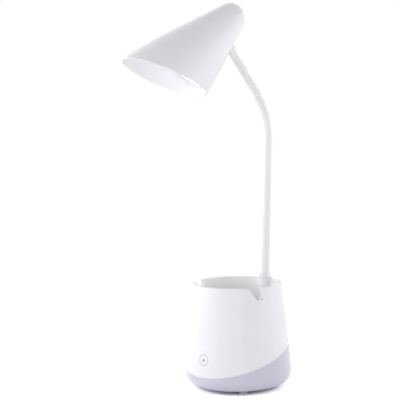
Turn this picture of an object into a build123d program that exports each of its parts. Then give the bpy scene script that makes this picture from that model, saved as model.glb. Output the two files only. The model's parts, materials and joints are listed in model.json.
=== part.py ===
from build123d import *
import os
from math import asin, atan, cos, degrees, radians, sin, tan

os.makedirs("parts", exist_ok=True)

# A rechargeable desk lamp: a pen-cup base, a flexible neck and a bell shade.
# Millimetres and degrees. The origin is the centre of the base's underside, +Z is up,
# the touch key faces -Y and the neck rises at +Y.

# Housing of the base: an upright band at the bottom, then a taper up to the rim
base_radius = 53.0
rim_radius = 44.2
rim_height = 100.0
edge_round = 11.0
shoulder_height = 20.0
shoulder_round = 140.0
shoulder_land = 0.02
rim_round = 1.2
wall = 2.0
fit = 0.1
overcut = 1.0

# Slanting parting plane between the white shell and the coloured skirt
parting_height = 30.2
parting_slope = 17.7
parting_gap = 0.15
tongue_wall = 1.2
tongue_inset = 1.0
tongue_rise = 5.0
tongue_root = 8.0

# Pen cup
collar_wall = 1.1
cup_draft_run = 2.6
cup_floor_wall = 2.0
cup_wall = 1.6
cup_corner_round = 4.0
cup_collar = 16.0
cup_edge_chamfer = 0.5
cup_headroom = 2.0

# Slot across the rim that holds a phone
slot_back = -8.9
slot_floor_front = -16.0
slot_top_front = -22.8
slot_depth = 12.0
slot_round = 1.5
slot_step = 0.6
slot_edge_round = 0.5

# Underside
cover_margin = 0.8
cover_wall = 2.4
cover_ledge = 2.2
ledge_wall = 2.0
skirt_inner_round = 8.0
foot_radius = 4.0
foot_height = 3.8
foot_seat = 1.0
foot_margin = 4.7
foot_angle = 52.0
foot_round = 0.6
post_circle = 30.0
post_angles = (20, 160, 250, 290)
post_radius = 3.0
screw_radius = 1.4
screw_clearance = 0.05
screw_length = 12.0
screw_head_radius = 2.7
screw_head_height = 1.1
screw_head_recess = 1.25

# Weight plate, cell and boards
plate_margin = 3.0
plate_thickness = 4.0
plate_hole_radius = 8.0
cell_radius = 9.2
cell_length = 65.0
cell_round = 0.8
cell_y = -9.0
cradle_wall = 1.6
cradle_floor = 1.2
cradle_end = 2.0
cradle_depth = 7.0
tab_thickness = 0.3
board_thickness = 1.6
board_width = 32.0
board_round = 2.0
board_setback = 6.2
board_bottom = 12.0
board_post_x = 12.0
board_post_front = 14.0
board_post_back = 33.0
board_post_radius = 2.6
board_screw_length = 7.0
board_screw_head = 2.3

# Charging socket in the back of the skirt
socket_width = 9.0
socket_height = 3.2
socket_wall = 0.35
socket_length = 7.3
socket_recess = 0.8
socket_overlap = 1.1
socket_hole_clearance = 0.3
socket_tongue_width = 6.6
socket_tongue_height = 0.7
socket_tongue_setback = 1.0
socket_back = 1.4

# Touch key on the front of the shell
key_angle = 4.0
key_height = 30.5
key_ring_radius = 5.8
key_line = 1.2
key_dot_radius = 1.4
key_depth = 0.6
key_reach_in = 6.0
lens_rise = 8.7
lens_radius = 0.6
touch_board_width = 18.0
touch_board_height = 20.0
touch_board_thickness = 1.0
touch_board_clearance = 0.44
touch_board_drop = 8.5
touch_post_radius = 2.0
touch_post_spread = 6.0
touch_post_rises = (2.5, 8.0)
touch_pad_radius = 5.0

# Flexible neck
neck_inset = 3.4
neck_turn = 15.0
neck_lean = 2.5
neck_rise = 138.2
neck_bend_radius = 89.0
neck_tilt = 34.2
neck_top_length = 70.9
sleeve_root_radius = 4.7
sleeve_tip_radius = 4.0
core_radius = 2.4
core_bore = 1.35
core_fit = 0.05
joint_gap = 0.1
joint_round_angle = 20.0
straight_sections = 4
first_joint = 24.0
last_joint = 26.0

# Neck socket on the rim
boss_radius = 7.5
boss_height = 4.5
boss_land = 0.6
boss_wall = 0.8
boss_hollow = 0.9
boss_round = 0.3
column_wall = 1.2
stem_length = 26.0
sleeve_seat = 10.0
flange_thickness = 1.8
flange_radius = 3.8
stud_radius = 3.0
stud_length = 21.0
nut_width = 8.0
nut_thickness = 3.0
nut_chamfer = 0.4
lead_radius = 1.15

# Shade: a round nose, a straight flank and a slow flare, cut off on the slant
shade_pitch = 40.5
shade_station = 32.4
nose_radius = 15.2
flank_angle = 15.7
flank_end = 75.0
flare_radius = 400.0
flare_overrun = 33.4
shade_length = 108.0
mouth_slant = 25.5
shade_wall = 1.8
mouth_round = 0.4
hub_radius = 6.25
hub_height = 2.5
hub_depth = 5.3
hub_seat = 3.0
shade_stud_length = 10.0

# Light module inside the shade
module_height = 14.0
spreader_margin = 4.3
spreader_thickness = 2.5
led_board_margin = 3.3
led_board_thickness = 1.6
led_width = 3.5
led_depth = 2.8
led_thickness = 0.8
led_outer_margin = 2.7
led_outer_count = 12
led_turn = 15.0
led_inner_circle = 10.5
led_inner_count = 6
module_post_margin = 6.5
module_post_count = 3
module_post_radius = 3.0
module_screw_length = 12.0
module_screw_head = 2.5
module_wire_hole = 2.2
reflector_wall = 1.2
reflector_clearance = 0.3
ledge_setback = 31.5
ledge_thickness = 1.5
ledge_width = 1.6
reflector_flange = 1.2
diffuser_thickness = 2.0
ring_thickness = 1.8
ring_setback = 0.2
lead_bend = 6.0

# Places that follow from the sizes above
taper = (base_radius - rim_radius) / (rim_height - shoulder_height)
half_lean = tan(atan(taper) / 2)
shoulder_room = shoulder_height - shoulder_land
shoulder_bend = min(
    shoulder_round,
    (shoulder_room - edge_round) / half_lean,
    (shoulder_room - cover_wall - ledge_wall - skirt_inner_round) / half_lean + wall,
)
cover_radius = base_radius - edge_round - cover_margin
foot_circle = cover_radius - foot_margin
plate_radius = cover_radius - cover_ledge - plate_margin
cradle_bottom = cover_wall + plate_thickness
cell_height = cradle_bottom + cradle_floor + cell_radius
cup_bottom = cell_height + cell_radius + cup_headroom
cup_floor_height = cup_bottom + cup_floor_wall
cup_radius = rim_radius - wall - fit - collar_wall
cup_floor_radius = cup_radius - cup_draft_run
socket_mouth = base_radius - socket_recess
socket_front = socket_mouth - socket_length
board_back = socket_front + socket_overlap
board_front = cell_y + cell_radius + cradle_wall + board_setback
touch_board_bottom = key_height - touch_board_drop
neck_y = rim_radius - neck_inset
parting_plane = Plane(
    origin=(0, 0, parting_height), z_dir=(0, -sin(radians(parting_slope)), cos(radians(parting_slope)))
)
forward = Vector(-sin(radians(neck_turn)), -cos(radians(neck_turn)), 0)
pitch_axis = Vector(0, 0, 1).cross(forward)
neck_root = Vector(0, neck_y, rim_height)


def neck_direction(tilt):
    return forward * sin(radians(tilt)) + Vector(0, 0, 1) * cos(radians(tilt))


root_axis = neck_direction(-neck_lean)
bend_start = neck_root + root_axis * neck_rise
bend_centre = bend_start + neck_direction(90 - neck_lean) * neck_bend_radius
bend_end = bend_centre - neck_direction(90 + neck_tilt) * neck_bend_radius
tip_axis = neck_direction(neck_tilt)
shade_point = bend_end + tip_axis * neck_top_length
shade_axis = neck_direction(90 + shade_pitch)
shade_up = neck_direction(shade_pitch)
shade_plane = Plane(origin=shade_point - shade_axis * shade_station, x_dir=shade_axis, z_dir=-pitch_axis)


def side_radius(height, inset):
    return base_radius - inset - taper * (height - shoulder_height)


def shade_radius(station):
    lean = radians(flank_angle)
    return nose_radius * cos(lean) + tan(lean) * (station - nose_radius * (1 - sin(lean)))


touch_board_y = touch_board_thickness + touch_board_clearance - (
    side_radius(touch_board_bottom + touch_board_height, wall) ** 2 - (touch_board_width / 2) ** 2
) ** 0.5
ledge_station = shade_length - ledge_setback
spreader_station = ledge_station - module_height
spreader_radius = shade_radius(spreader_station) - shade_wall - spreader_margin
led_board_radius = shade_radius(spreader_station) - shade_wall - led_board_margin
led_outer_circle = led_board_radius - led_outer_margin
module_post_circle = spreader_radius - module_post_margin
reflector_inner_radius = led_board_radius + reflector_clearance
ledge_inner_radius = shade_radius(ledge_station) - shade_wall - ledge_width
ring_inner_radius = ledge_inner_radius + ring_setback


def foot_places(circle, *angles):
    return [(circle * sin(radians(a)), -circle * cos(radians(a))) for a in angles]


def housing(inset, bottom, top, bottom_round=0.0, top_round=0.0):
    """The base's outer form, moved inwards by inset and cut off flat at bottom and top."""
    with BuildPart() as body:
        with BuildSketch(Plane.XZ) as outline:
            with BuildLine():
                Polyline(
                    (0, bottom),
                    (base_radius - inset, bottom),
                    (base_radius - inset, shoulder_height),
                    (side_radius(top, inset), top),
                    (0, top),
                    close=True,
                )
            make_face()
            if shoulder_height > bottom:
                fillet(outline.vertices().sort_by_distance((base_radius - inset, shoulder_height))[0],
                       shoulder_bend - inset)
            if bottom_round:
                fillet(outline.vertices().sort_by_distance((base_radius - inset, bottom))[0], bottom_round)
            if top_round:
                fillet(outline.vertices().sort_by_distance((side_radius(top, inset), top))[0], top_round)
        revolve(axis=Axis.Z)
    return body.part


def collar_band(inset, bottom, top):
    """The tapering part of the base's form between two heights above the shoulder."""
    with BuildPart() as band:
        with BuildSketch(Plane.XZ):
            with BuildLine():
                Polyline(
                    (0, bottom),
                    (side_radius(bottom, inset), bottom),
                    (side_radius(top, inset), top),
                    (0, top),
                    close=True,
                )
            make_face()
        revolve(axis=Axis.Z)
    return band.part


def phone_slot(step):
    """A bar across the rim with an upright back and a sloping front, widened all round by step."""
    slope = (slot_floor_front - slot_top_front) / slot_depth
    floor_height = rim_height - slot_depth - step
    top_height = rim_height + boss_height
    front_step = step * (1 + slope**2) ** 0.5
    with BuildPart() as slot:
        with BuildSketch(Plane.YZ) as profile:
            with BuildLine():
                Polyline(
                    (slot_back + step, floor_height),
                    (slot_floor_front + slope * step - front_step, floor_height),
                    (slot_top_front - slope * boss_height - front_step, top_height),
                    (slot_back + step, top_height),
                    close=True,
                )
            make_face()
            floor_corners = profile.vertices().group_by(Axis.Y)[0]
            fillet(floor_corners, slot_round)
        extrude(amount=base_radius, both=True)
    return slot.part


def neck_column(radius, bottom, top):
    """An upright cylinder round the foot of the neck."""
    with BuildPart() as column:
        with BuildSketch(Plane.XY.offset(bottom)):
            with Locations((0, neck_y)):
                Circle(radius)
        extrude(amount=top - bottom)
    return column.part


slot_cutter = phone_slot(0)
hollow_radius = boss_radius - column_wall
pilaster_bottom = parting_height + neck_y * tan(radians(parting_slope))

# Upper shell with the bulge that covers the neck's socket at the back
with BuildPart() as shell_blank:
    add(housing(0, 0, rim_height, edge_round, rim_round))
    add(neck_column(boss_radius, pilaster_bottom, rim_height))
    add(housing(wall, -overcut, rim_height + overcut), mode=Mode.SUBTRACT)
    add(neck_column(hollow_radius, pilaster_bottom, rim_height + overcut), mode=Mode.SUBTRACT)
    split(bisect_by=parting_plane, keep=Keep.TOP)
    add(slot_cutter, mode=Mode.SUBTRACT)
    slot_edges = [
        edge
        for edge in shell_blank.edges()
        if abs(((edge @ 0.5).X ** 2 + (edge @ 0.5).Y ** 2) ** 0.5 - side_radius((edge @ 0.5).Z, 0)) < fit
        and slot_depth + fit > rim_height - (edge @ 0.5).Z > rim_round
        and slot_top_front < (edge @ 0.5).Y < slot_back + fit
    ]
    fillet(slot_edges, slot_edge_round)

# Touch key: a ring and a dot let into the front of the shell, and a lens above them
key_turn = radians(key_angle)
key_out = Vector(sin(key_turn), -cos(key_turn), 0)
key_reach = side_radius(key_height, 0)
key_plane = Plane(
    origin=key_out * (key_reach + wall) + Vector(0, 0, key_height),
    x_dir=(cos(key_turn), sin(key_turn), 0),
    z_dir=-key_out,
)
with BuildPart() as skin:
    add(housing(0, 0, rim_height))
    add(housing(key_depth, -overcut, rim_height + overcut), mode=Mode.SUBTRACT)
with BuildPart() as touch_key:
    with BuildSketch(key_plane):
        Circle(key_ring_radius)
        Circle(key_ring_radius - key_line, mode=Mode.SUBTRACT)
        Circle(key_dot_radius)
    extrude(amount=key_reach_in)
    add(skin.part, mode=Mode.INTERSECT)
lens_plane = Plane(
    origin=key_out * (-touch_board_y) + Vector(0, 0, key_height + lens_rise), z_dir=key_out
)
with BuildPart() as indicator_lens:
    with BuildSketch(lens_plane):
        Circle(lens_radius)
    extrude(amount=base_radius + touch_board_y)
    add(housing(0, 0, rim_height), mode=Mode.INTERSECT)
with BuildPart() as outer_shell:
    add(shell_blank.part)
    add(touch_key.part, mode=Mode.SUBTRACT)
    add(indicator_lens.part, mode=Mode.SUBTRACT)

# Lower skirt with the tongue that laps inside the shell
with BuildPart() as tongue:
    add(housing(wall + fit, overcut, rim_height))
    add(housing(wall + fit + tongue_wall, 0, rim_height + overcut), mode=Mode.SUBTRACT)
    split(bisect_by=parting_plane.offset(tongue_rise), keep=Keep.BOTTOM)
    split(bisect_by=parting_plane.offset(-tongue_root), keep=Keep.TOP)
with BuildPart() as tongue_band:
    add(housing(tongue_inset, overcut, rim_height))
    add(housing(wall + fit + tongue_wall / 2, 0, rim_height + overcut), mode=Mode.SUBTRACT)
    split(bisect_by=parting_plane.offset(-parting_gap), keep=Keep.BOTTOM)
    split(bisect_by=parting_plane.offset(-tongue_root), keep=Keep.TOP)
socket_middle = board_bottom + board_thickness + socket_height / 2
socket_plane = Plane(origin=(0, socket_front, socket_middle), x_dir=(1, 0, 0), z_dir=(0, 1, 0))
with BuildPart() as base_skirt:
    add(housing(0, 0, rim_height, edge_round))
    add(housing(wall, cover_wall + ledge_wall, rim_height + overcut, skirt_inner_round), mode=Mode.SUBTRACT)
    split(bisect_by=parting_plane.offset(-parting_gap), keep=Keep.BOTTOM)
    add(tongue_band.part)
    add(tongue.part)
    with BuildSketch(Plane.XY.offset(-overcut)):
        Circle(cover_radius + fit)
    extrude(amount=cover_wall + overcut, mode=Mode.SUBTRACT)
    with BuildSketch(Plane.XY):
        Circle(cover_radius - cover_ledge)
    extrude(amount=cover_wall + ledge_wall + overcut, mode=Mode.SUBTRACT)
    with BuildSketch(socket_plane):
        SlotOverall(socket_width + 2 * socket_hole_clearance, socket_height + 2 * socket_hole_clearance)
    extrude(amount=base_radius - socket_front + overcut, mode=Mode.SUBTRACT)

# Pen cup with its collar, its column for the neck and the posts under its floor
post_places = [(post_circle * cos(radians(a)), post_circle * sin(radians(a))) for a in post_angles]
board_places = [(x, y) for x in (-board_post_x, board_post_x) for y in (board_post_front, board_post_back)]
touch_places = [
    (x, key_height + rise) for x in (-touch_post_spread, touch_post_spread) for rise in touch_post_rises
]
cup_draft = (cup_radius - cup_floor_radius) / (rim_height - cup_floor_height)
collar_bottom = rim_height - cup_collar
board_top = board_bottom + board_thickness
with BuildPart() as cup_space:
    with BuildSketch(Plane.XZ) as outline:
        with BuildLine():
            Polyline(
                (0, cup_floor_height),
                (cup_floor_radius, cup_floor_height),
                (cup_radius - cup_draft * cup_edge_chamfer, rim_height - cup_edge_chamfer),
                (cup_radius + cup_edge_chamfer, rim_height),
                (cup_radius + cup_edge_chamfer, rim_height + overcut),
                (0, rim_height + overcut),
                close=True,
            )
        make_face()
        floor_corner = outline.vertices().sort_by_distance((cup_floor_radius, cup_floor_height))[0]
        fillet(floor_corner, cup_corner_round)
    revolve(axis=Axis.Z)
    add(neck_column(boss_radius, 0, rim_height + 2 * overcut), mode=Mode.SUBTRACT)
with BuildPart() as cup_liner:
    with BuildSketch(Plane.XZ) as outline:
        with BuildLine():
            Polyline(
                (0, cup_bottom),
                (cup_floor_radius + cup_wall, cup_bottom),
                (cup_radius + cup_wall - cup_draft * cup_collar, collar_bottom),
                (0, collar_bottom),
                close=True,
            )
        make_face()
        floor_corner = outline.vertices().sort_by_distance((cup_floor_radius + cup_wall, cup_bottom))[0]
        fillet(floor_corner, cup_corner_round)
    revolve(axis=Axis.Z)
    add(collar_band(wall + fit, collar_bottom, rim_height))
    with BuildSketch(Plane.XY.offset(cover_wall)):
        with Locations(*post_places):
            Circle(post_radius)
    extrude(amount=cup_bottom - cover_wall + cup_floor_wall)
    with BuildSketch(Plane.XY.offset(board_top)):
        with Locations(*board_places):
            Circle(board_post_radius)
    extrude(amount=cup_bottom - board_top + cup_floor_wall)
    with BuildSketch(Plane(origin=(0, touch_board_y, 0), x_dir=(1, 0, 0), z_dir=(0, 1, 0))):
        with Locations(*[(x, -z) for x, z in touch_places]):
            Circle(touch_post_radius)
    extrude(amount=-touch_board_y - cup_floor_radius)
    add(cup_space.part, mode=Mode.SUBTRACT)
    add(neck_column(hollow_radius, 0, rim_height + overcut), mode=Mode.SUBTRACT)
    with BuildSketch(Plane.XY.offset(cover_wall)):
        with Locations(*post_places):
            Circle(screw_radius + screw_clearance)
    extrude(amount=screw_length, mode=Mode.SUBTRACT)
    with BuildSketch(Plane.XY.offset(board_top)):
        with Locations(*board_places):
            Circle(screw_radius + screw_clearance)
    extrude(amount=board_screw_length, mode=Mode.SUBTRACT)
    add(phone_slot(slot_step), mode=Mode.SUBTRACT)

# Underside: cover, feet, screws and weight plate
feet = foot_places(foot_circle, -foot_angle, foot_angle, foot_angle - 180, 180 - foot_angle)
with BuildPart() as bottom_cover:
    with BuildSketch(Plane.XY):
        Circle(cover_radius)
    extrude(amount=cover_wall)
    with BuildSketch(Plane.XY):
        with Locations(*feet):
            Circle(foot_radius + fit)
    extrude(amount=foot_seat, mode=Mode.SUBTRACT)
    with BuildSketch(Plane.XY):
        with Locations(*post_places):
            Circle(screw_head_radius + fit)
    extrude(amount=screw_head_recess, mode=Mode.SUBTRACT)
    with BuildSketch(Plane.XY):
        with Locations(*post_places):
            Circle(screw_radius + fit)
    extrude(amount=cover_wall, mode=Mode.SUBTRACT)
with BuildPart() as foot_pads:
    with BuildSketch(Plane.XY.offset(-foot_height)):
        with Locations(*feet):
            Circle(foot_radius)
    extrude(amount=foot_height + foot_seat)
    fillet(foot_pads.edges().filter_by(GeomType.CIRCLE).group_by(Axis.Z)[0], foot_round)
with BuildPart() as cover_screws:
    with BuildSketch(Plane.XY.offset(screw_head_recess - screw_head_height)):
        with Locations(*post_places):
            Circle(screw_head_radius)
    extrude(amount=screw_head_height)
    with BuildSketch(Plane.XY.offset(screw_head_recess)):
        with Locations(*post_places):
            Circle(screw_radius)
    extrude(amount=screw_length)
with BuildPart() as weight_plate:
    with BuildSketch(Plane.XY.offset(cover_wall)):
        Circle(plate_radius)
        Circle(plate_hole_radius, mode=Mode.SUBTRACT)
        with Locations(*post_places):
            Circle(post_radius + 2 * fit, mode=Mode.SUBTRACT)
    extrude(amount=plate_thickness)

# Rechargeable cell in its cradle, with a tab on each end
cell_plane = Plane(origin=(-cell_length / 2, cell_y, cell_height), x_dir=(0, 1, 0), z_dir=(1, 0, 0))
cradle_half = cell_length / 2 + tab_thickness + cradle_end
with BuildPart() as battery_cell:
    with BuildSketch(cell_plane):
        Circle(cell_radius)
    extrude(amount=cell_length)
    fillet(battery_cell.edges().filter_by(GeomType.CIRCLE), cell_round)
with BuildPart() as battery_tabs:
    with BuildSketch(cell_plane, cell_plane.offset(cell_length + tab_thickness)):
        Rectangle(cell_radius, cell_radius)
    extrude(amount=-tab_thickness)
with BuildPart() as battery_cradle:
    with BuildSketch(Plane.XY.offset(cradle_bottom)):
        with Locations((0, cell_y)):
            Rectangle(2 * cradle_half, 2 * (cell_radius + cradle_wall))
    extrude(amount=cradle_depth)
    with BuildSketch(cell_plane.offset(-tab_thickness)):
        Circle(cell_radius + fit)
    extrude(amount=cell_length + 2 * tab_thickness, mode=Mode.SUBTRACT)

# Control board on the posts under the cup, its screws and the charging socket
with BuildPart() as control_board:
    with BuildSketch(Plane.XY.offset(board_bottom)):
        with Locations((0, (board_front + board_back) / 2)):
            RectangleRounded(board_width, board_back - board_front, board_round)
        with Locations(*board_places):
            Circle(screw_radius + fit, mode=Mode.SUBTRACT)
    extrude(amount=board_thickness)
with BuildPart() as board_screws:
    with BuildSketch(Plane.XY.offset(board_bottom)):
        with Locations(*board_places):
            Circle(screw_radius)
    extrude(amount=board_screw_length)
    with BuildSketch(Plane.XY.offset(board_bottom - screw_head_height)):
        with Locations(*board_places):
            Circle(board_screw_head)
    extrude(amount=screw_head_height)
with BuildPart() as usb_socket:
    with BuildSketch(socket_plane):
        SlotOverall(socket_width, socket_height)
        SlotOverall(socket_width - 2 * socket_wall, socket_height - 2 * socket_wall, mode=Mode.SUBTRACT)
    extrude(amount=socket_length)
    with BuildSketch(socket_plane):
        SlotOverall(socket_width, socket_height)
    extrude(amount=socket_back)
    with BuildSketch(socket_plane):
        Rectangle(socket_tongue_width, socket_tongue_height)
    extrude(amount=socket_length - socket_tongue_setback)

# Touch board behind the key, carried by four posts of the cup
with BuildPart() as touch_board:
    with BuildSketch(Plane(
        origin=(0, touch_board_y, touch_board_bottom), x_dir=(1, 0, 0), z_dir=(0, -1, 0)
    )):
        with Locations((0, touch_board_height / 2)):
            Rectangle(touch_board_width, touch_board_height)
    extrude(amount=touch_board_thickness)
    add(indicator_lens.part, mode=Mode.SUBTRACT)
with BuildPart() as touch_pad:
    with BuildSketch(Plane(
        origin=(0, touch_board_y - touch_board_thickness, key_height), x_dir=(1, 0, 0), z_dir=(0, -1, 0)
    )):
        with Locations((key_reach * sin(key_turn), 0)):
            Circle(touch_pad_radius)
    extrude(amount=key_reach_in)
    add(housing(wall + fit, 0, rim_height), mode=Mode.INTERSECT)

# Socket, stud, nut and lead at the foot of the neck
root_plane = Plane(origin=neck_root, x_dir=pitch_axis, z_dir=root_axis)
boss_top_radius = sleeve_root_radius + boss_wall
with BuildPart() as neck_socket:
    with BuildSketch(Plane(origin=neck_root, x_dir=(1, 0, 0), z_dir=(0, -1, 0))) as outline:
        with BuildLine():
            Polyline((0, boss_height), (0, 0), (boss_radius, 0), (boss_radius, boss_land))
            ThreePointArc(
                (boss_radius, boss_land),
                (
                    (boss_radius + boss_top_radius) / 2 - boss_hollow / 2,
                    (boss_land + boss_height) / 2 - boss_hollow / 2,
                ),
                (boss_top_radius, boss_height),
            )
            Line((boss_top_radius, boss_height), (0, boss_height))
        make_face()
    revolve(axis=Axis(neck_root, (0, 0, 1)))
    fillet(neck_socket.edges().group_by(Axis.Z)[-1], boss_round)
    add(neck_column(hollow_radius - fit, rim_height - stem_length, rim_height))
    with BuildSketch(root_plane.offset(-sleeve_seat)):
        Circle(sleeve_root_radius + fit)
    extrude(amount=sleeve_seat + 2 * boss_height, mode=Mode.SUBTRACT)
    with BuildSketch(root_plane.offset(-stem_length - overcut)):
        Circle(stud_radius + fit)
    extrude(amount=stem_length + overcut, mode=Mode.SUBTRACT)


def threaded_end(seat_plane, length):
    """Flange and stud that end the flexible core; the flange lies on the seat plane."""
    with BuildPart() as end:
        with BuildSketch(seat_plane):
            Circle(flange_radius)
            Circle(core_bore, mode=Mode.SUBTRACT)
        extrude(amount=flange_thickness)
        with BuildSketch(seat_plane):
            Circle(stud_radius)
            Circle(core_bore, mode=Mode.SUBTRACT)
        extrude(amount=-length)
    return end.part


def hex_nut(seat_plane):
    """Nut that draws the stud down; its face lies on the seat plane."""
    with BuildPart() as nut:
        with BuildSketch(seat_plane):
            RegularPolygon(nut_width / 2, 6, major_radius=False)
            Circle(stud_radius + fit / 2, mode=Mode.SUBTRACT)
        extrude(amount=-nut_thickness)
        rims = nut.faces().filter_by(GeomType.PLANE).sort_by(Axis(seat_plane.origin, seat_plane.z_dir))
        chamfer(rims[0].outer_wire().edges(), nut_chamfer)
    return nut.part


nut_drop = stem_length / cos(radians(neck_lean)) + hollow_radius * tan(radians(neck_lean))
with BuildPart() as neck_stud:
    add(threaded_end(root_plane.offset(-sleeve_seat), stud_length))
with BuildPart() as neck_nut:
    add(hex_nut(root_plane.offset(-nut_drop)))
with BuildPart() as base_lead:
    with BuildSketch(root_plane.offset(-sleeve_seat)):
        Circle(lead_radius)
    extrude(amount=-rim_height)
    split(bisect_by=Plane.XY.offset(board_top), keep=Keep.TOP)

# Joints of the neck: straight sections, the bend in two sections, and straight again
section_length = (neck_rise - first_joint) / straight_sections
straight_joints = [
    neck_root + root_axis * (first_joint + section_length * i) for i in range(straight_sections + 1)
]
bend_middle = bend_centre - neck_direction(90 + (neck_tilt - neck_lean) / 2) * neck_bend_radius
hub_face = shade_radius(shade_station)
hub_top = hub_face + hub_height
sleeve_end = shade_point - tip_axis * (hub_top - hub_seat)
joints = straight_joints + [bend_middle, bend_end, bend_end + tip_axis * last_joint]
tilts = [-neck_lean] * (straight_sections + 1) + [(neck_tilt - neck_lean) / 2, neck_tilt, neck_tilt]
points = [neck_root - root_axis * (sleeve_seat - flange_thickness)] + joints + [sleeve_end]
start_tilts = [-neck_lean] + tilts


def sleeve_radius(index):
    """The sleeve tapers a little from one section to the next."""
    return sleeve_root_radius - (sleeve_root_radius - sleeve_tip_radius) * index / (len(points) - 2)


def neck_tube(outer, bore, index, reach):
    """One rigid section of the neck between two joints, with a ball foot and a dished head."""
    start = points[index]
    axis = neck_direction(start_tilts[index])
    end = points[index + 1]
    end_axis = neck_direction(tilts[index]) if index < len(tilts) else tip_axis
    with BuildPart() as tube:
        with BuildLine():
            if start_tilts[index] == (tilts[index] if index < len(tilts) else neck_tilt):
                Line(start, end)
            else:
                TangentArc(start, end, tangent=axis)
        with BuildSketch(Plane(origin=start, x_dir=pitch_axis, z_dir=axis)):
            Circle(outer)
            Circle(bore, mode=Mode.SUBTRACT)
        sweep()
        if index > 0 and reach:
            with BuildSketch(Plane(origin=start, x_dir=pitch_axis, z_dir=axis)):
                Circle(outer)
                Circle(bore, mode=Mode.SUBTRACT)
            extrude(amount=-reach)
        if index > 0 and not reach:
            with BuildSketch(Plane(origin=start, x_dir=pitch_axis, z_dir=pitch_axis.cross(axis))):
                with BuildLine():
                    depth = (outer**2 - bore**2) ** 0.5
                    Line((bore, 0), (outer, 0))
                    ThreePointArc(
                        (outer, 0),
                        (outer * cos(radians(joint_round_angle)), -outer * sin(radians(joint_round_angle))),
                        (bore, -depth),
                    )
                    Line((bore, -depth), (bore, 0))
                make_face()
            revolve(axis=Axis(start, axis))
        if index < len(points) - 2:
            with Locations(end):
                Sphere(sleeve_radius(index) + joint_gap, mode=Mode.SUBTRACT)
    return tube.part


section_names = ["root", "1", "2", "3", "4", "5", "6", "7", "tip"]
neck_parts = []
for index, section in enumerate(section_names):
    core_reach = (sleeve_radius(index) ** 2 - core_radius**2) ** 0.5 - joint_gap
    sleeve = neck_tube(sleeve_radius(index), core_radius + core_fit, index, 0)
    sleeve.label = f"neck_sleeve_{section}"
    core = neck_tube(core_radius, core_bore, index, core_reach)
    core.label = f"neck_core_{section}"
    neck_parts += [sleeve, core]


def shade_form(inset, overrun=flare_overrun):
    """The bell shade's outer form, moved inwards by inset, running past the mouth by overrun."""
    lean = radians(flank_angle)
    final = asin(sin(lean) - (shade_length + overrun - flank_end) / flare_radius)
    centre = (flank_end + flare_radius * sin(lean), shade_radius(flank_end) - flare_radius * cos(lean))
    radius = flare_radius - inset
    with BuildPart() as form:
        with BuildSketch(shade_plane):
            with BuildLine():
                nose = CenterArc((nose_radius, 0), nose_radius - inset, 180, flank_angle - 90)
                flare = CenterArc(centre, radius, 90 + flank_angle, degrees(final) - flank_angle)
                Line(nose @ 1, flare @ 0)
                wide_end = (centre[0] - radius * sin(final), 0)
                Line(flare @ 1, wide_end)
                Line(wide_end, nose @ 0)
            make_face()
        revolve(axis=Axis(shade_plane.origin, shade_axis))
    return form.part


def station_plane(station):
    """Plane across the shade's axis, with its local Y towards the shade's upper side."""
    return Plane(origin=shade_plane.origin + shade_axis * station, x_dir=pitch_axis, z_dir=shade_axis)


def shade_disc(inset, station, thickness):
    """A disc across the shade whose edge follows the shade's form."""
    with BuildPart() as disc:
        with BuildSketch(station_plane(station)):
            Circle(base_radius)
        extrude(amount=thickness)
        add(shade_form(inset), mode=Mode.INTERSECT)
    return disc.part


def polar_places(radius, count, first):
    return [
        (radius * cos(radians(first + 360 * i / count)), radius * sin(radians(first + 360 * i / count)))
        for i in range(count)
    ]


# Shade shell with its hub for the neck, the ledge for the light module and three posts
mouth_plane = Plane(
    origin=shade_plane.origin + shade_axis * shade_length,
    z_dir=shade_axis * cos(radians(mouth_slant)) - shade_up * sin(radians(mouth_slant)),
)
tip_plane = Plane(origin=shade_point, x_dir=pitch_axis, z_dir=-tip_axis)
module_places = polar_places(module_post_circle, module_post_count, 90)
with BuildPart() as shade_posts:
    with BuildSketch(station_plane(0)):
        with Locations(*module_places):
            Circle(module_post_radius)
    extrude(amount=spreader_station)
    add(shade_form(shade_wall / 2), mode=Mode.INTERSECT)
with BuildPart() as shade_ledge:
    add(shade_disc(shade_wall / 2, ledge_station, ledge_thickness))
    with BuildSketch(station_plane(ledge_station)):
        Circle(ledge_inner_radius)
    extrude(amount=ledge_thickness, mode=Mode.SUBTRACT)
with BuildPart() as shade_shell:
    add(shade_form(0))
    add(shade_form(shade_wall, flare_overrun + overcut), mode=Mode.SUBTRACT)
    split(bisect_by=mouth_plane, keep=Keep.BOTTOM)
    fillet(shade_shell.faces().sort_by_distance(mouth_plane.origin)[0].edges(), mouth_round)
    add(shade_posts.part)
    add(shade_ledge.part)
    with BuildSketch(tip_plane.offset(hub_face - hub_depth)):
        Circle(hub_radius)
    extrude(amount=hub_depth + hub_height)
    with BuildSketch(tip_plane.offset(hub_top - hub_seat - flange_thickness)):
        Circle(sleeve_tip_radius + fit)
    extrude(amount=hub_seat + flange_thickness + overcut, mode=Mode.SUBTRACT)
    with BuildSketch(tip_plane.offset(hub_face - hub_depth - overcut)):
        Circle(stud_radius + fit)
    extrude(amount=hub_depth + 2 * overcut, mode=Mode.SUBTRACT)
    with BuildSketch(station_plane(spreader_station - module_screw_length)):
        with Locations(*module_places):
            Circle(screw_radius + screw_clearance)
    extrude(amount=module_screw_length, mode=Mode.SUBTRACT)
with BuildPart() as shade_stud:
    add(threaded_end(tip_plane.offset(hub_top - hub_seat - flange_thickness), shade_stud_length))
with BuildPart() as shade_nut:
    add(hex_nut(tip_plane.offset(hub_face - hub_depth)))

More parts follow.
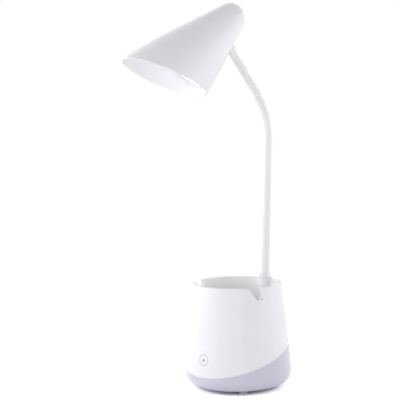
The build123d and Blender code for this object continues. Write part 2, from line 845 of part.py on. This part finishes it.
# Light module: spreader, board, diodes, reflector, diffuser, ring and screws
board_station = spreader_station + spreader_thickness
face_station = board_station + led_board_thickness
flange_station = ledge_station + ledge_thickness
with BuildPart() as heat_spreader:
    with BuildSketch(station_plane(spreader_station)):
        Circle(spreader_radius)
        Circle(module_wire_hole, mode=Mode.SUBTRACT)
        with Locations(*module_places):
            Circle(screw_radius + fit, mode=Mode.SUBTRACT)
    extrude(amount=spreader_thickness)
with BuildPart() as led_board:
    with BuildSketch(station_plane(board_station)):
        Circle(led_board_radius)
        with Locations(*module_places):
            Circle(screw_radius + fit, mode=Mode.SUBTRACT)
    extrude(amount=led_board_thickness)
with BuildPart() as led_chips:
    with BuildSketch(station_plane(face_station)):
        with PolarLocations(led_outer_circle, led_outer_count, start_angle=led_turn):
            Rectangle(led_depth, led_width)
        with PolarLocations(led_inner_circle, led_inner_count):
            Rectangle(led_depth, led_width)
    extrude(amount=led_thickness)
with BuildPart() as module_screws:
    with BuildSketch(station_plane(face_station)):
        with Locations(*module_places):
            Circle(module_screw_head)
    extrude(amount=screw_head_height)
    with BuildSketch(station_plane(face_station)):
        with Locations(*module_places):
            Circle(screw_radius)
    extrude(amount=-module_screw_length)
with BuildPart() as reflector:
    with BuildSketch(shade_plane):
        with BuildLine():
            Polyline(
                (face_station, reflector_inner_radius),
                (flange_station, ledge_inner_radius - fit - reflector_wall),
                (flange_station + reflector_flange, ledge_inner_radius - fit - reflector_wall),
                (flange_station + reflector_flange, ledge_inner_radius - fit),
                (flange_station, ledge_inner_radius - fit),
                (face_station, reflector_inner_radius + reflector_wall),
                close=True,
            )
        make_face()
    revolve(axis=Axis(shade_plane.origin, shade_axis))
    add(shade_disc(shade_wall + fit, flange_station, reflector_flange))
    with BuildSketch(station_plane(flange_station)):
        Circle(ledge_inner_radius - fit - reflector_wall)
    extrude(amount=reflector_flange, mode=Mode.SUBTRACT)
with BuildPart() as diffuser:
    add(shade_disc(shade_wall + fit, flange_station + reflector_flange, diffuser_thickness))
ring_station = flange_station + reflector_flange + diffuser_thickness
with BuildPart() as diffuser_ring:
    add(shade_disc(shade_wall + fit, ring_station, ring_thickness))
    with BuildSketch(station_plane(ring_station)):
        Circle(ring_inner_radius)
    extrude(amount=ring_thickness, mode=Mode.SUBTRACT)
lead_offset = hub_top - hub_seat - flange_thickness - shade_stud_length / 2
with BuildPart() as shade_lead:
    with BuildLine():
        FilletPolyline(
            shade_point - tip_axis * lead_offset,
            shade_point,
            shade_point + shade_axis * (board_station - shade_station),
            radius=lead_bend,
        )
    with BuildSketch(Plane(origin=shade_point - tip_axis * lead_offset, z_dir=tip_axis)):
        Circle(lead_radius)
    sweep()

pieces = {
    "outer_shell": outer_shell,
    "base_skirt": base_skirt,
    "cup_liner": cup_liner,
    "bottom_cover": bottom_cover,
    "foot_pads": foot_pads,
    "cover_screws": cover_screws,
    "weight_plate": weight_plate,
    "battery_cell": battery_cell,
    "battery_tabs": battery_tabs,
    "battery_cradle": battery_cradle,
    "control_board": control_board,
    "board_screws": board_screws,
    "usb_socket": usb_socket,
    "touch_key": touch_key,
    "indicator_lens": indicator_lens,
    "touch_board": touch_board,
    "touch_pad": touch_pad,
    "neck_socket": neck_socket,
    "neck_stud": neck_stud,
    "neck_nut": neck_nut,
    "base_lead": base_lead,
    "shade_shell": shade_shell,
    "shade_stud": shade_stud,
    "shade_nut": shade_nut,
    "heat_spreader": heat_spreader,
    "led_board": led_board,
    "led_chips": led_chips,
    "module_screws": module_screws,
    "reflector": reflector,
    "diffuser": diffuser,
    "diffuser_ring": diffuser_ring,
    "shade_lead": shade_lead,
}
for name, piece in pieces.items():
    piece.part.label = name
    export_step(piece.part, f"parts/{name}.step")
for section in neck_parts:
    export_step(section, f"parts/{section.label}.step")
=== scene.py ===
import bpy
import bmesh
import json
from itertools import product
from math import cos, pi, radians, sin
from mathutils import Matrix, Vector


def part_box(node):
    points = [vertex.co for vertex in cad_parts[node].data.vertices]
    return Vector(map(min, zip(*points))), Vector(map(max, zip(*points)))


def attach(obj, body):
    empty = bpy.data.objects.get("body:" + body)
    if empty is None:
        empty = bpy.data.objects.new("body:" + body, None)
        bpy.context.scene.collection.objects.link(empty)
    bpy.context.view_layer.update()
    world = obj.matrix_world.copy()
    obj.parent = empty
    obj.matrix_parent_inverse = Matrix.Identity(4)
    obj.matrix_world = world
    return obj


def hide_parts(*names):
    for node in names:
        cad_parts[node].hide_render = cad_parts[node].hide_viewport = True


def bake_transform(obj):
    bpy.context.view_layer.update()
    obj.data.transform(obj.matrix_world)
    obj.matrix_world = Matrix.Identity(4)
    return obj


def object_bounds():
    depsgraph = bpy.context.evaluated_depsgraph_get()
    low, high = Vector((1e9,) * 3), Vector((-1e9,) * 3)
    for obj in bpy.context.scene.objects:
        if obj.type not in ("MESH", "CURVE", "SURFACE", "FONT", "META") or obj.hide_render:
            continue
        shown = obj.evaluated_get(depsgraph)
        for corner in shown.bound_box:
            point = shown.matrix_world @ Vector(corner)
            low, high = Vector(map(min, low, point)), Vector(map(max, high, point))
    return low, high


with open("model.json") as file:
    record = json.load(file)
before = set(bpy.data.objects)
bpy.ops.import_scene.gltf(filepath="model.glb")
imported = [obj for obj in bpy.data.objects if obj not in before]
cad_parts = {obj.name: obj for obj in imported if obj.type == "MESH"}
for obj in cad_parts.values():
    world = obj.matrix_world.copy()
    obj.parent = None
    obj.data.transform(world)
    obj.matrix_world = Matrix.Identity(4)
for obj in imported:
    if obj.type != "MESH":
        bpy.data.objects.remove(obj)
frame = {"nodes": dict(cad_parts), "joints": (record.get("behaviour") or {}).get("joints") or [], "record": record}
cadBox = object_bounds()
nodes = frame["nodes"]
sameSpot = 1e-7  # points nearer than this are one point
onAxis = 1e-6
print("frame loaded:", len(nodes), "nodes")


def newNode(tree, kind, place, **settings):
    node = tree.nodes.new(kind)
    node.location = place
    for name, value in settings.items():
        setattr(node, name, value)
    return node


def setInputs(node, values):
    for name, value in values.items():
        socket = node.inputs[name]
        socket.default_value = (*value, 1.0) if socket.type == "RGBA" else value


def wire(tree, *pairs):
    for source, target in pairs:
        tree.links.new(source, target)


# the two noise patterns under every finish, and where the colour ramp starts and ends
moulding = {
    "cloud": {"Detail": 4.0, "Roughness": 0.55},
    "grain": {"Detail": 6.0, "Roughness": 0.6},
    "darkStop": 0.3,
    "lightStop": 0.7,
}


def moulded(name, look):
    # plain moulded finish: faint cloudiness in the colour, fine grain in the gloss and the surface
    material = bpy.data.materials.new(name)
    material.use_nodes = True
    tree = material.node_tree
    shader = tree.nodes["Principled BSDF"]
    setInputs(shader, look["shader"])
    place = newNode(tree, "ShaderNodeTexCoord", (-1300, 0))
    cloud = newNode(tree, "ShaderNodeTexNoise", (-1050, 250))
    setInputs(cloud, {"Scale": look["cloudScale"], **moulding["cloud"]})
    colours = newNode(tree, "ShaderNodeValToRGB", (-800, 250))
    darkEnd, lightEnd = colours.color_ramp.elements
    darkEnd.position = moulding["darkStop"]
    darkEnd.color = (*look["dark"], 1)
    lightEnd.position = moulding["lightStop"]
    lightEnd.color = (*look["light"], 1)
    grain = newNode(tree, "ShaderNodeTexNoise", (-1050, -100))
    setInputs(grain, {"Scale": look["grainScale"], **moulding["grain"]})
    gloss = newNode(tree, "ShaderNodeMapRange", (-800, -100))
    setInputs(gloss, {"To Min": look["gloss"][0], "To Max": look["gloss"][1]})
    bump = newNode(tree, "ShaderNodeBump", (-500, -350))
    setInputs(bump, {"Strength": look["bump"], "Distance": look["bumpDepth"]})
    wire(
        tree,
        (place.outputs["Object"], cloud.inputs["Vector"]),
        (place.outputs["Object"], grain.inputs["Vector"]),
        (cloud.outputs["Fac"], colours.inputs["Fac"]),
        (colours.outputs["Color"], shader.inputs["Base Color"]),
        (grain.outputs["Fac"], gloss.inputs["Value"]),
        (gloss.outputs["Result"], shader.inputs["Roughness"]),
        (grain.outputs["Fac"], bump.inputs["Height"]),
        (bump.outputs["Normal"], shader.inputs["Normal"]),
    )
    return material


whiteShell = {
    "shader": {"Specular IOR Level": 0.45},
    "dark": (0.84, 0.83, 0.87), "light": (0.865, 0.855, 0.9),
    "cloudScale": 18.0, "grainScale": 2400.0, "gloss": (0.36, 0.44), "bump": 0.05, "bumpDepth": 0.00001,
}
lavenderSkirt = {
    "shader": {"Specular IOR Level": 0.45},
    "dark": (0.60, 0.58, 0.69), "light": (0.64, 0.62, 0.73),
    "cloudScale": 18.0, "grainScale": 2400.0, "gloss": (0.27, 0.33), "bump": 0.06, "bumpDepth": 0.00001,
}
silicone = {
    "shader": {"Specular IOR Level": 0.4, "Sheen Weight": 0.12, "Sheen Roughness": 0.5},
    "dark": (0.86, 0.86, 0.885), "light": (0.885, 0.885, 0.905),
    "cloudScale": 30.0, "grainScale": 2400.0, "gloss": (0.48, 0.56), "bump": 0.06, "bumpDepth": 0.00001,
}
rubberFoot = {
    "shader": {"Specular IOR Level": 0.35},
    "dark": (0.44, 0.43, 0.52), "light": (0.47, 0.46, 0.55),
    "cloudScale": 60.0, "grainScale": 3000.0, "gloss": (0.6, 0.75), "bump": 0.3, "bumpDepth": 0.00004,
}
steel = {
    "shader": {"Metallic": 1.0},
    "dark": (0.52, 0.52, 0.54), "light": (0.62, 0.62, 0.63),
    "cloudScale": 90.0, "grainScale": 2600.0, "gloss": (0.28, 0.42), "bump": 0.15, "bumpDepth": 0.00002,
}
bareAluminium = {
    "shader": {"Metallic": 1.0},
    "dark": (0.76, 0.77, 0.78), "light": (0.83, 0.84, 0.85),
    "cloudScale": 40.0, "grainScale": 1800.0, "gloss": (0.3, 0.42), "bump": 0.15, "bumpDepth": 0.00002,
}
contactGold = {
    "shader": {"Metallic": 1.0},
    "dark": (0.86, 0.62, 0.24), "light": (0.92, 0.70, 0.32),
    "cloudScale": 300.0, "grainScale": 6000.0, "gloss": (0.2, 0.3), "bump": 0.05, "bumpDepth": 0.000005,
}
keyInlay = {
    "shader": {"Specular IOR Level": 0.5},
    "dark": (0.62, 0.61, 0.66), "light": (0.66, 0.65, 0.70),
    "cloudScale": 60.0, "grainScale": 2400.0, "gloss": (0.28, 0.34), "bump": 0.08, "bumpDepth": 0.00001,
    "dotColour": (0.36, 0.35, 0.39), "dotReach": 0.003,
}
opalDisc = {
    "shader": {"Specular IOR Level": 0.4, "Emission Color": (1.0, 1.0, 1.0), "Emission Strength": 0.67},
    "dark": (0.92, 0.92, 0.93), "light": (0.95, 0.95, 0.95),
    "cloudScale": 25.0, "grainScale": 1800.0, "gloss": (0.45, 0.55), "bump": 0.1, "bumpDepth": 0.00001,
}
# the cup liner is the same white plastic drawn lighter: painted light inside the cup
cupLiningPaintedLight = dict(whiteShell, dark=(0.935, 0.93, 0.945), light=(0.955, 0.95, 0.965))
finishes = {
    "white_plastic": whiteShell, "cup_lining_painted_light": cupLiningPaintedLight, "skirt_plastic": lavenderSkirt,
    "neck_silicone": silicone, "foot_rubber": rubberFoot, "key_print": keyInlay,
    "spring_steel": steel, "fastener_steel": steel, "weight_steel": steel,
    "module_aluminium": bareAluminium, "contact_gold": contactGold, "diffuser_opal": opalDisc,
}
materials = {slot: moulded(slot, look) for slot, look in finishes.items()}

# the dot in the middle of the touch ring is printed darker than the ring
keyTree = materials["key_print"].node_tree
keyLow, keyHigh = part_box("touch_key")
place = newNode(keyTree, "ShaderNodeTexCoord", (-800, 700))
fromMiddle = newNode(keyTree, "ShaderNodeVectorMath", (-600, 700), operation="DISTANCE")
fromMiddle.inputs[1].default_value = (keyLow + keyHigh) / 2
inDot = newNode(keyTree, "ShaderNodeMath", (-400, 700), operation="LESS_THAN")
inDot.inputs[1].default_value = keyInlay["dotReach"]
printed = newNode(keyTree, "ShaderNodeMix", (-200, 500), data_type="RGBA")
printed.inputs["B"].default_value = (*keyInlay["dotColour"], 1)
keyRamp = next(node for node in keyTree.nodes if node.type == "VALTORGB")
keyShader = keyTree.nodes["Principled BSDF"]
wire(
    keyTree,
    (place.outputs["Object"], fromMiddle.inputs[0]),
    (fromMiddle.outputs["Value"], inDot.inputs[0]),
    (inDot.outputs[0], printed.inputs[0]),
    (keyRamp.outputs["Color"], printed.inputs["A"]),
    (printed.outputs["Result"], keyShader.inputs["Base Color"]),
)

# small and hidden pieces: light tone and roughness of each, with the rest in common
smallPieces = {
    "reflector_white": ((0.9, 0.9, 0.9), 0.3),
    "lens_clear": ((0.75, 0.76, 0.8), 0.15),
    "touch_foam": ((0.07, 0.07, 0.08), 0.9),
    "lead_cover": ((0.7, 0.7, 0.72), 0.45),
    "cell_wrap": ((0.05, 0.15, 0.36), 0.25),
    "cradle_plastic": ((0.02, 0.02, 0.022), 0.5),
    "circuit_board": ((0.02, 0.09, 0.045), 0.35),
    "led_phosphor": ((0.9, 0.75, 0.2), 0.4),
}
smallPieceLook = {
    "shader": {"Specular IOR Level": 0.45},
    "cloudScale": 60.0, "grainScale": 2400.0, "bump": 0.1, "bumpDepth": 0.00002,
}
darkShare = 0.95
smoothShare = 0.9
for slot, (colour, roughness) in smallPieces.items():
    darker = tuple(darkShare * part for part in colour)
    look = dict(smallPieceLook, dark=darker, light=colour, gloss=(roughness * smoothShare, roughness))
    materials[slot] = moulded(slot, look)

slotOf = {entry["node"]: entry["material_slot"] for entry in frame["record"]["subparts"]}
for name, node in nodes.items():
    node.data.materials.clear()
    node.data.materials.append(materials["cup_lining_painted_light" if name == "cup_liner" else slotOf[name]])
print("materials:", len(materials))


def placed(name, shape):
    # the finished shape becomes an object at the origin
    mesh = bpy.data.meshes.new(name)
    shape.to_mesh(mesh)
    shape.free()
    piece = bpy.data.objects.new(name, mesh)
    bpy.context.scene.collection.objects.link(piece)
    return piece


# the neck is one smooth tube, split at the middle of each section so that each piece spans a joint
neck = {
    "rootRadius": 0.0047,
    "tipRadius": 0.0040,
    "sides": 40,
    "step": 0.0014,
    "footShare": 0.05,  # of the root radius, left free at the foot
    "tipInset": 0.0012,
}
neckJoints = [Vector(joint["pos_m"]) for joint in frame["joints"]]
lowAxis = (neckJoints[4] - neckJoints[0]).normalized()
topAxis = (neckJoints[7] - neckJoints[6]).normalized()
bendNormal = lowAxis.cross(topAxis).normalized()
bendAngle = lowAxis.angle(topAxis)
bendRadius = (neckJoints[6] - neckJoints[4]).length / 2 / sin(bendAngle / 2)
towardsCentre = bendNormal.cross(lowAxis)
bendCentre = neckJoints[4] + towardsCentre * bendRadius
bendLength = bendRadius * bendAngle
straightLength = (neckJoints[4] - neckJoints[0]).length
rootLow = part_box("neck_sleeve_root")[0]
tipLow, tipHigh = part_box("neck_sleeve_tip")


def neckPlace(travel):
    # centre and direction at a distance along the neck, counted from the first joint
    if travel < straightLength:
        return neckJoints[0] + lowAxis * travel, lowAxis
    if travel < straightLength + bendLength:
        turn = Matrix.Rotation((travel - straightLength) / bendRadius, 3, bendNormal)
        return bendCentre - turn @ towardsCentre * bendRadius, turn @ lowAxis
    return neckJoints[6] + topAxis * (travel - straightLength - bendLength), topAxis


jointTravel = [(neckJoints[i] - neckJoints[0]).length for i in range(5)]
jointTravel += [straightLength + bendLength / 2, straightLength + bendLength]
jointTravel += [straightLength + bendLength + (neckJoints[7] - neckJoints[6]).length]
rootTravel = -(neckJoints[0].z - rootLow.z) / lowAxis.z + neck["rootRadius"] * neck["footShare"]
tipCorners = [Vector(corner) for corner in product(*zip(tipLow, tipHigh))]
tipReach = max((corner - neckJoints[7]).dot(topAxis) for corner in tipCorners)
tipEnd = jointTravel[7] + tipReach - neck["tipInset"]
print("neck length:", round((tipEnd - rootTravel) * 1000, 1), "mm")


def ringMatrix(travel):
    # a unit circle becomes the ring of the sleeve at this distance
    centre, direction = neckPlace(travel)
    share = (travel - rootTravel) / (tipEnd - rootTravel)
    radius = neck["rootRadius"] + (neck["tipRadius"] - neck["rootRadius"]) * share
    turned = Matrix((bendNormal, direction.cross(bendNormal), direction)).transposed().to_4x4()
    return Matrix.Translation(centre) @ turned @ Matrix.Scale(radius, 4)


def neckTube(name, start, end):
    # a circle at the start, drawn along the neck ring by ring and closed at both ends
    shape = bmesh.new()
    steps = max(2, round((end - start) / neck["step"]))
    foot = ringMatrix(start)
    bmesh.ops.create_circle(shape, segments=neck["sides"], radius=1.0, cap_ends=True, matrix=foot)
    rim = list(shape.edges)
    for index in range(steps):
        here = ringMatrix(start + (end - start) * index / steps)
        there = ringMatrix(start + (end - start) * (index + 1) / steps)
        grown = bmesh.ops.extrude_edge_only(shape, edges=rim)["geom"]
        ring = [item for item in grown if isinstance(item, bmesh.types.BMVert)]
        rim = [item for item in grown if isinstance(item, bmesh.types.BMEdge)]
        bmesh.ops.transform(shape, matrix=there @ here.inverted(), verts=ring)
    bmesh.ops.contextual_create(shape, geom=rim)
    bmesh.ops.remove_doubles(shape, verts=shape.verts, dist=sameSpot)
    bmesh.ops.recalc_face_normals(shape, faces=shape.faces)
    for face in shape.faces:
        face.smooth = len(face.verts) == 4
        if not face.smooth:
            for edge in face.edges:
                edge.smooth = False
    return placed(name, shape)


middles = [(a + b) / 2 for a, b in zip(jointTravel, jointTravel[1:])]
ends = [rootTravel] + middles + [tipEnd]
sleeveNodes = ["neck_sleeve_root"] + [f"neck_sleeve_{i}" for i in range(1, 8)] + ["neck_sleeve_tip"]
for index, travel in enumerate(jointTravel):
    piece = neckTube(f"neckSleeve{index + 1}", ends[index], ends[index + 1])
    piece.data.materials.append(materials["neck_silicone"])
    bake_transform(piece)
    replaced = [sleeveNodes[index]] + ([sleeveNodes[8]] if index == 7 else [])
    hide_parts(*replaced)
print("neck sleeves:", len(jointTravel))

# screws under the base, with a cross recess in each head
coverScrews = {
    "circle": 0.030, "angles": (20, 160, 250, 290), "faceLevel": 0.00015,
    "headRadius": 0.0027, "headHeight": 0.0011, "shankRadius": 0.0014, "shankLength": 0.012,
    "recessReach": 0.0015, "recessWidth": 0.0007, "recessDepth": 0.0008, "recessTaper": 0.7,
    "rimRound": 0.00025, "sides": 24,
}


def crossScrew(shape, place, look):
    # head with its recess at the local origin, shank along local -Z
    size = look["recessReach"]
    grid = bmesh.ops.create_grid(shape, x_segments=3, y_segments=3, size=size)["verts"]
    squeeze = (look["recessWidth"] / 2) / (size / 3)  # the grid's inner lines lie a third of the way out
    for vert in grid:
        for axis in (0, 1):
            if abs(vert.co[axis]) < size / 2:
                vert.co[axis] *= squeeze
    faces = {face for vert in grid for face in vert.link_faces}
    centres = {face: face.calc_center_median() for face in faces}
    recess = [face for face in faces if min(abs(centres[face].x), abs(centres[face].y)) < onAxis]
    gridEdges = {edge for vert in grid for edge in vert.link_edges}
    outline = [edge for edge in gridEdges if edge.is_boundary]
    circle = bmesh.ops.create_circle(shape, segments=look["sides"], radius=look["headRadius"])["verts"]
    rim = list({edge for vert in circle for edge in vert.link_edges})
    made = list(grid) + list(circle)
    bmesh.ops.bridge_loops(shape, edges=outline + rim)
    sunk = bmesh.ops.extrude_face_region(shape, geom=recess)["geom"]
    floorVerts = [item for item in sunk if isinstance(item, bmesh.types.BMVert)]
    bmesh.ops.translate(shape, verts=floorVerts, vec=(0, 0, -look["recessDepth"]))
    bmesh.ops.scale(shape, verts=floorVerts, vec=(look["recessTaper"], look["recessTaper"], 1))
    made += floorVerts
    edges = rim
    narrow = look["shankRadius"] / look["headRadius"]
    for drop, factor in ((look["headHeight"], 1), (0, narrow), (look["shankLength"], 1)):
        grown = bmesh.ops.extrude_edge_only(shape, edges=edges)["geom"]
        verts = [item for item in grown if isinstance(item, bmesh.types.BMVert)]
        edges = [item for item in grown if isinstance(item, bmesh.types.BMEdge)]
        bmesh.ops.translate(shape, verts=verts, vec=(0, 0, -drop))
        bmesh.ops.scale(shape, verts=verts, vec=(factor, factor, 1))
        made += verts
    bmesh.ops.contextual_create(shape, geom=edges)
    bmesh.ops.transform(shape, matrix=place, verts=[vert for vert in set(made) if vert.is_valid])
    bmesh.ops.bevel(
        shape, geom=rim, offset=look["rimRound"], affect="EDGES", segments=3, profile=0.5, material=-1
    )


def finished(name, shape, material, body, replaced=()):
    # the mesh becomes a piece that rides one body
    bmesh.ops.remove_doubles(shape, verts=shape.verts, dist=sameSpot)
    bmesh.ops.recalc_face_normals(shape, faces=shape.faces)
    openEdges = sum(1 for edge in shape.edges if not edge.is_manifold)
    piece = placed(name, shape)
    piece.data.materials.append(materials[material])
    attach(piece, body)
    if replaced:
        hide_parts(*replaced)
    print(name, "faces", len(piece.data.polygons), "open edges", openEdges)
    return piece


shape = bmesh.new()
for angle in coverScrews["angles"]:
    x = coverScrews["circle"] * cos(radians(angle))
    y = coverScrews["circle"] * sin(radians(angle))
    place = Matrix.Translation((x, y, coverScrews["faceLevel"])) @ Matrix.Rotation(pi, 4, "X")
    crossScrew(shape, place, coverScrews)
finished("coverScrewSet", shape, "fastener_steel", "base", ["cover_screws"])

# contact strips on both sides of the tongue in the charging socket
contacts = {
    "count": 12, "pitch": 0.0005, "width": 0.00026, "length": 0.0034, "height": 0.00008,
    "tongueHeight": 0.0007, "tongueSetback": 0.001, "tipMargin": 0.0004,
}
socketLow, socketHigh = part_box("usb_socket")
tongueTip = socketHigh.y - contacts["tongueSetback"] - contacts["tipMargin"]
tongueMiddle = (socketLow.z + socketHigh.z) / 2
shape = bmesh.new()
size = Matrix.Diagonal((contacts["width"], contacts["length"], contacts["height"], 1))
y = tongueTip - contacts["length"] / 2
for index in range(contacts["count"]):
    x = (index - (contacts["count"] - 1) / 2) * contacts["pitch"]
    for side in (-1, 1):
        centre = (x, y, tongueMiddle + side * contacts["tongueHeight"] / 2)
        bmesh.ops.create_cube(shape, size=1.0, matrix=Matrix.Translation(centre) @ size)
finished("socketContacts", shape, "contact_gold", "base")

# the desk under the feet
stage = {
    "deskHeight": cadBox[0].z,
    "tone": (0.9, 0.9, 0.9),
    "sides": 96,
    "radius": 0.9,
    "shadowReach": 0.32,
    "fadeReach": 0.62,
    "boost": 0.95,
    # nearer the middle than this the floor's camera boost is off, a painted shadow under the base; it is full
    # again by the next distance
    "paintedShadowReach": 0.034,
    "paintedShadowEdge": 0.044,
}


def seenDirectly(tree, place):
    # one for rays that show the backdrop as it is: straight, mirrored or through glass
    paths = newNode(tree, "ShaderNodeLightPath", place)
    mirrored = newNode(tree, "ShaderNodeMath", (place[0] + 200, place[1]), operation="MAXIMUM")
    through = newNode(tree, "ShaderNodeMath", (place[0] + 400, place[1]), operation="MAXIMUM")
    wire(
        tree,
        (paths.outputs["Is Camera Ray"], mirrored.inputs[0]),
        (paths.outputs["Is Glossy Ray"], mirrored.inputs[1]),
        (mirrored.outputs[0], through.inputs[0]),
        (paths.outputs["Is Transmission Ray"], through.inputs[1]),
    )
    return through.outputs[0]


def floorMaterial():
    # white ground that keeps the shadow near the part, with painted shadow where the camera boost is off close
    # under the base, and turns into the white backdrop further out
    material = bpy.data.materials.new("paleFloor")
    material.use_nodes = True
    tree = material.node_tree
    tree.nodes.clear()
    out = newNode(tree, "ShaderNodeOutputMaterial", (1200, 0))
    place = newNode(tree, "ShaderNodeTexCoord", (-900, 500))
    reach = newNode(tree, "ShaderNodeVectorMath", (-700, 500), operation="LENGTH")
    fade = newNode(tree, "ShaderNodeMapRange", (-500, 500), interpolation_type="SMOOTHSTEP")
    setInputs(fade, {"From Min": stage["shadowReach"], "From Max": stage["fadeReach"]})
    seenRays = seenDirectly(tree, (-400, 250))
    ground = newNode(tree, "ShaderNodeBsdfDiffuse", (-200, 0))
    ground.inputs["Color"].default_value = (*stage["tone"], 1)
    # the camera boost is off close under the base and full further out: painted shadow there
    liftPastPaintedShadow = newNode(tree, "ShaderNodeMapRange", (-500, -200), interpolation_type="SMOOTHSTEP")
    setInputs(liftPastPaintedShadow, {"From Min": stage["paintedShadowReach"], "From Max": stage["paintedShadowEdge"]})
    setInputs(liftPastPaintedShadow, {"To Max": stage["boost"]})
    boost = newNode(tree, "ShaderNodeBsdfDiffuse", (-200, -200))
    far = newNode(tree, "ShaderNodeEmission", (100, -300))
    seen = newNode(tree, "ShaderNodeAddShader", (100, -100))
    faded = newNode(tree, "ShaderNodeMixShader", (350, -150))
    choice = newNode(tree, "ShaderNodeMixShader", (600, 0))
    side = newNode(tree, "ShaderNodeNewGeometry", (600, 300))
    clear = newNode(tree, "ShaderNodeBsdfTransparent", (600, -200))
    oneSided = newNode(tree, "ShaderNodeMixShader", (900, 0))
    wire(
        tree,
        (place.outputs["Object"], reach.inputs[0]),
        (reach.outputs["Value"], fade.inputs["Value"]),
        (reach.outputs["Value"], liftPastPaintedShadow.inputs["Value"]),
        (liftPastPaintedShadow.outputs["Result"], boost.inputs["Color"]),
        (ground.outputs[0], seen.inputs[0]),
        (boost.outputs[0], seen.inputs[1]),
        (fade.outputs["Result"], faded.inputs[0]),
        (seen.outputs[0], faded.inputs[1]),
        (far.outputs[0], faded.inputs[2]),
        (seenRays, choice.inputs[0]),
        (ground.outputs[0], choice.inputs[1]),
        (faded.outputs[0], choice.inputs[2]),
        (side.outputs["Backfacing"], oneSided.inputs[0]),
        (choice.outputs[0], oneSided.inputs[1]),
        (clear.outputs[0], oneSided.inputs[2]),
        (oneSided.outputs[0], out.inputs[0]),
    )
    return material


shape = bmesh.new()
place = Matrix.Translation((0, 0, stage["deskHeight"]))
bmesh.ops.create_circle(
    shape, segments=stage["sides"], radius=stage["radius"], cap_ends=True, matrix=place
)
floor = placed("deskTop", shape)
floor.data.materials.append(floorMaterial())

# light of the room: place on the ramp from straight down to straight up, and brightness there
room = {
    "below": (0.3, 0.0),
    "level": (0.5, 0.22),
    "above": (0.85, 0.42),
}
world = bpy.data.worlds.new("paleRoom")
bpy.context.scene.world = world
world.use_nodes = True
tree = world.node_tree
tree.nodes.clear()
out = newNode(tree, "ShaderNodeOutputWorld", (600, 0))
place = newNode(tree, "ShaderNodeTexCoord", (-900, 0))
split = newNode(tree, "ShaderNodeSeparateXYZ", (-700, 0))
heights = newNode(tree, "ShaderNodeMapRange", (-500, 0))
setInputs(heights, {"From Min": -1.0, "From Max": 1.0})
levels = newNode(tree, "ShaderNodeValToRGB", (-300, 0))
stops = levels.color_ramp.elements
for stop, (height, tone) in zip(stops, (room["below"], room["above"])):
    stop.position = height
    stop.color = (tone,) * 3 + (1,)
height, tone = room["level"]
stops.new(height).color = (tone,) * 3 + (1,)
soft = newNode(tree, "ShaderNodeBackground", (0, 0))
backdrop = newNode(tree, "ShaderNodeBackground", (0, -200))
backdrop.inputs["Color"].default_value = (1, 1, 1, 1)
choice = newNode(tree, "ShaderNodeMixShader", (350, 0))
wire(
    tree,
    (place.outputs["Generated"], split.inputs[0]),
    (split.outputs["Z"], heights.inputs["Value"]),
    (heights.outputs["Result"], levels.inputs["Fac"]),
    (levels.outputs["Color"], soft.inputs["Color"]),
    (seenDirectly(tree, (-400, 300)), choice.inputs[0]),
    (soft.outputs[0], choice.inputs[1]),
    (backdrop.outputs[0], choice.inputs[2]),
    (choice.outputs[0], out.inputs[0]),
)

view = {
    "azimuth": 44.5, "distance": 1.050, "height": 0.2612, "pitch": 0.075, "roll": 0.017,
    "focalPixels": 1061.0, "imagePixels": 400.0, "axisPixel": 235.6, "sensor": 36.0,
    "nearest": 0.05, "furthest": 50,
}
turn = radians(view["azimuth"])
rightward = Vector((cos(turn), sin(turn), 0))
level = Vector((-sin(turn), cos(turn), 0))
up = Vector((0, 0, 1))
forward = level * cos(view["pitch"]) - up * sin(view["pitch"])
upward = level * sin(view["pitch"]) + up * cos(view["pitch"])
cameraRight = rightward * cos(view["roll"]) - upward * sin(view["roll"])
cameraUp = rightward * sin(view["roll"]) + upward * cos(view["roll"])


def softLight(name, azimuth, elevation, distance, size, power):
    # a square lamp that faces the middle of the part
    lamp = bpy.data.lights.new(name, "AREA")
    lamp.shape = "SQUARE"
    lamp.size = size
    lamp.energy = power
    holder = bpy.data.objects.new(name, lamp)
    bpy.context.scene.collection.objects.link(holder)
    a, e = radians(azimuth), radians(elevation)
    back = Vector((sin(a) * cos(e), -cos(a) * cos(e), sin(e)))
    holder.location = Vector((0, 0, lampAim)) + back * distance
    holder.rotation_euler = (-back).to_track_quat("-Z", "Y").to_euler()
    return holder


lampAim = 0.17  # height that every lamp faces
# turn from the camera's side, height angle, distance, size, watts
lamps = {
    "leftLamp": (-85, 3, 1.5, 1.2, 9.7),
    "rightLamp": (95, 10, 1.6, 1.0, 5.1),
    "leftFrontLamp": (-50, 0, 1.6, 1.0, 4.4),
    "rightFrontLamp": (50, 0, 1.6, 1.0, 3.8),
    "frontLamp": (0, -2, 1.6, 0.8, 4.6),
    "leftBackLamp": (-125, 8, 1.6, 1.2, 6.9),
    "rightBackLamp": (130, 15, 1.6, 1.2, 5.3),
    "backLamp": (180, 30, 1.8, 1.4, 4.9),
    "rightHighLamp": (60, 30, 1.6, 0.9, 2.3),
    "leftHighLamp": (-70, 25, 1.6, 0.7, 3.2),
}
for name, (side, elevation, distance, size, power) in lamps.items():
    softLight(name, view["azimuth"] + side, elevation, distance, size, power)
print("lamps:", len(lamps))

camera = bpy.data.objects.new("camera", bpy.data.cameras.new("camera"))
bpy.context.scene.collection.objects.link(camera)
camera.data.sensor_width = view["sensor"]
camera.data.lens = view["focalPixels"] / view["imagePixels"] * view["sensor"]
camera.data.shift_x = (view["imagePixels"] / 2 - view["axisPixel"]) / view["imagePixels"]
camera.data.clip_start = view["nearest"]
camera.data.clip_end = view["furthest"]
stand = Matrix.Translation(up * view["height"] - level * view["distance"])
camera.matrix_world = stand @ Matrix((cameraRight, cameraUp, -forward)).transposed().to_4x4()
bpy.context.scene.camera = camera
bpy.context.scene.view_settings.view_transform = "Standard"
